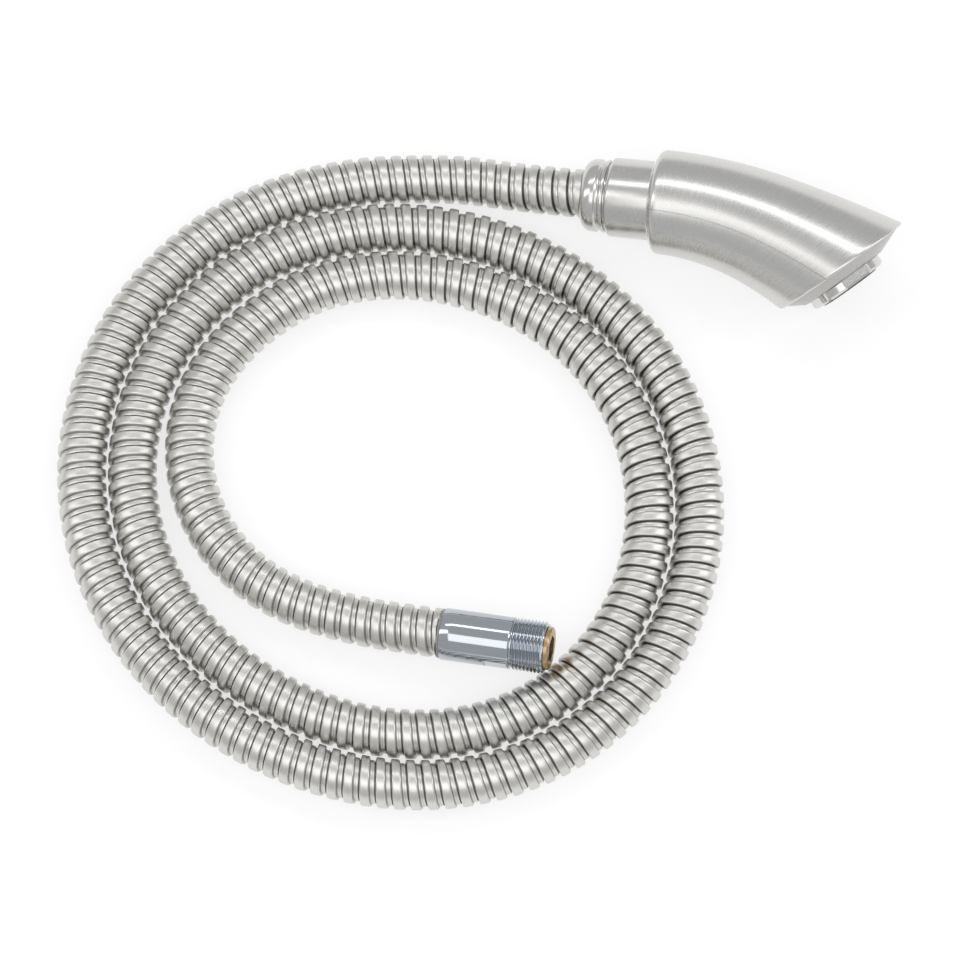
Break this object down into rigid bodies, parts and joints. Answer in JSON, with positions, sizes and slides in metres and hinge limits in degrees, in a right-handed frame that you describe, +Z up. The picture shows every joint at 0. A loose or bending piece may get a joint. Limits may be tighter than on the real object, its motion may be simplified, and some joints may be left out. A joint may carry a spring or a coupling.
{
  "type": "handheld bath sprayer",
  "caption": "Bent steel spray head with a slanted nozzle, on a coiled ribbed metal hose with a threaded swivel inlet connector.",
  "frame": {"origin": "centre of the footprint of the spray head with its swivel, on the floor that the head and the hose lie on", "axes": "+X roughly along the neck towards the nozzle, +Z up from the floor"},
  "size_m": [0.4331, 0.3469, 0.0694],
  "materials": {
    "hose_steel": "satin stainless strip",
    "head_steel": "satin brushed stainless",
    "chrome": "polished chrome",
    "brass": "turned brass",
    "steel_spring": "spring steel",
    "black_rubber": "matt rubber",
    "clear_nylon": "translucent nylon",
    "grey_plastic": "moulded plastic"
  },
  "bodies": {
    "hose": {"hose_lead": "hose_steel", "hose_coil": "hose_steel", "hose_tail": "hose_steel", "inner_hose": "black_rubber", "swivel_collar": "head_steel", "swivel_spindle": "brass", "outlet_ferrule": "steel_spring", "swivel_washer": "clear_nylon", "swivel_retaining_ring": "steel_spring", "swivel_o_rings": "black_rubber", "inlet_insert": "brass", "inlet_ferrule": "steel_spring", "inlet_bush": "grey_plastic", "inlet_retaining_ring": "steel_spring", "inlet_o_ring": "black_rubber"},
    "spray_head": {"neck_sleeve": "head_steel", "swivel_housing": "brass", "dock_washer": "clear_nylon", "shell_upper": "head_steel", "shell_lower": "head_steel", "waterway_tube": "brass", "nozzle_adapter": "brass", "flow_restrictor": "grey_plastic", "end_cap": "head_steel", "nozzle_nut": "head_steel", "strainer_screen": "steel_spring", "nozzle_gasket": "black_rubber", "spray_insert": "grey_plastic"},
    "connector": {"inlet_connector": "chrome"}
  },
  "joints": [
    {"name": "head_swivel", "type": "hinge", "parent": "hose", "child": "spray_head", "pos_m": [-0.03362, 0.01741, 0.02747], "axis": [0.967, -0.1705, 0.1891], "continuous": true},
    {"name": "connector_swivel", "type": "hinge", "parent": "hose", "child": "connector", "pos_m": [-0.14485, -0.2104, 0.01941], "axis": [0.9726, -0.175, 0.153], "continuous": true}
  ]
}
